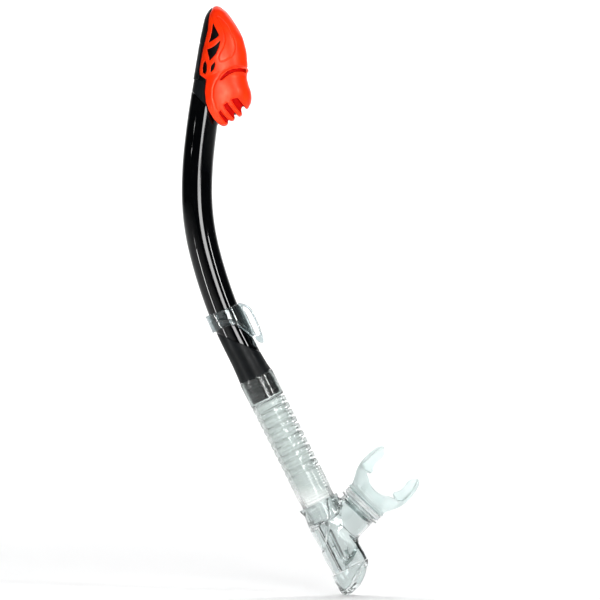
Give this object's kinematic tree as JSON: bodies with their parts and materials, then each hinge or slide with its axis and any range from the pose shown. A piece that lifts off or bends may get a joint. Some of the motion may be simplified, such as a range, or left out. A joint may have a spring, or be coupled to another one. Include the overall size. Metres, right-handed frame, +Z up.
{
  "type": "snorkel_tube",
  "caption": "Dry-top snorkel: curved gloss black barrel with a red splash cover, clear ribbed hose, purge chamber with an angled silicone mouthpiece, and a clear strap clip",
  "frame": {"origin": "the middle of the keeper clip's flat strap pad", "axes": "+Z up as the snorkel is worn, +X towards the wearer's face and the mouthpiece, +Y across the barrel; y = 0 is the middle plane"},
  "size_m": [0.1856, 0.0358, 0.4593],
  "materials": {
    "gloss_black": "high gloss",
    "matt_black": "fine matt",
    "red_cover": "satin",
    "clear_hard": "clear, polished",
    "clear_silicone": "translucent, satin",
    "black_silicone": "matt",
    "steel": "plain",
    "nylon_band": "translucent"
  },
  "bodies": {
    "clip": {"keeper_clip": "clear_hard"},
    "barrel": {"barrel": "gloss_black", "barrel_foot": "matt_black", "inlet_collar": "matt_black", "rear_shell": "matt_black", "top_cap": "red_cover", "pivot_pin": "steel"},
    "float": {"float_cup": "matt_black", "float_lid": "matt_black"},
    "valve": {"valve_lever": "matt_black", "valve_seal": "black_silicone", "seal_button": "black_silicone"},
    "hose": {"flex_hose": "clear_silicone"},
    "lower": {"chamber": "clear_hard", "duct_cover": "clear_hard", "purge_seat": "clear_hard", "purge_cover": "clear_hard"},
    "purge": {"purge_valve": "clear_silicone"},
    "mouthpiece": {"mouthpiece": "clear_silicone", "mouthpiece_band": "nylon_band"}
  },
  "joints": [
    {"name": "clip_turn", "type": "hinge", "parent": "clip", "child": "barrel", "pos_m": [-0.01405, 0, -0.00655], "axis": [-0.4226, 0, 0.9063], "continuous": true},
    {"name": "float_rise", "type": "slide", "parent": "barrel", "child": "float", "axis": [0.165, 0, 0.9863], "range_m": [0, 0.0042]},
    {"name": "valve_tilt", "type": "hinge", "parent": "barrel", "child": "valve", "pos_m": [-0.0176, 0, 0.19449], "axis": [0, -1, 0], "range_deg": [0, 25]},
    {"name": "hose_swivel", "type": "hinge", "parent": "barrel", "child": "hose", "pos_m": [0.02921, 0, -0.09225], "axis": [-0.4478, 0, 0.8942], "range_deg": [-45, 45]},
    {"name": "hose_flex", "type": "hinge", "parent": "hose", "child": "lower", "pos_m": [0.02921, 0, -0.09225], "axis": [0, 1, 0], "range_deg": [-45, 25], "stiffness_Nm_per_rad": 0.4, "springref_deg": -3.44, "deforming": ["flex_hose"]},
    {"name": "purge_lift", "type": "slide", "parent": "lower", "child": "purge", "axis": [0.7727, 0, -0.6347], "range_m": [0, 0.0015], "stiffness_N_per_m": 20, "springref_m": -0.0005},
    {"name": "mouthpiece_swivel", "type": "hinge", "parent": "lower", "child": "mouthpiece", "pos_m": [0.08532, 0, -0.14616], "axis": [0.6871, 0, 0.7266], "range_deg": [-45, 45]}
  ],
  "couplings": [
    {"joint": "valve_tilt", "follows": "float_rise", "rad_per_m": 103.8}
  ]
}
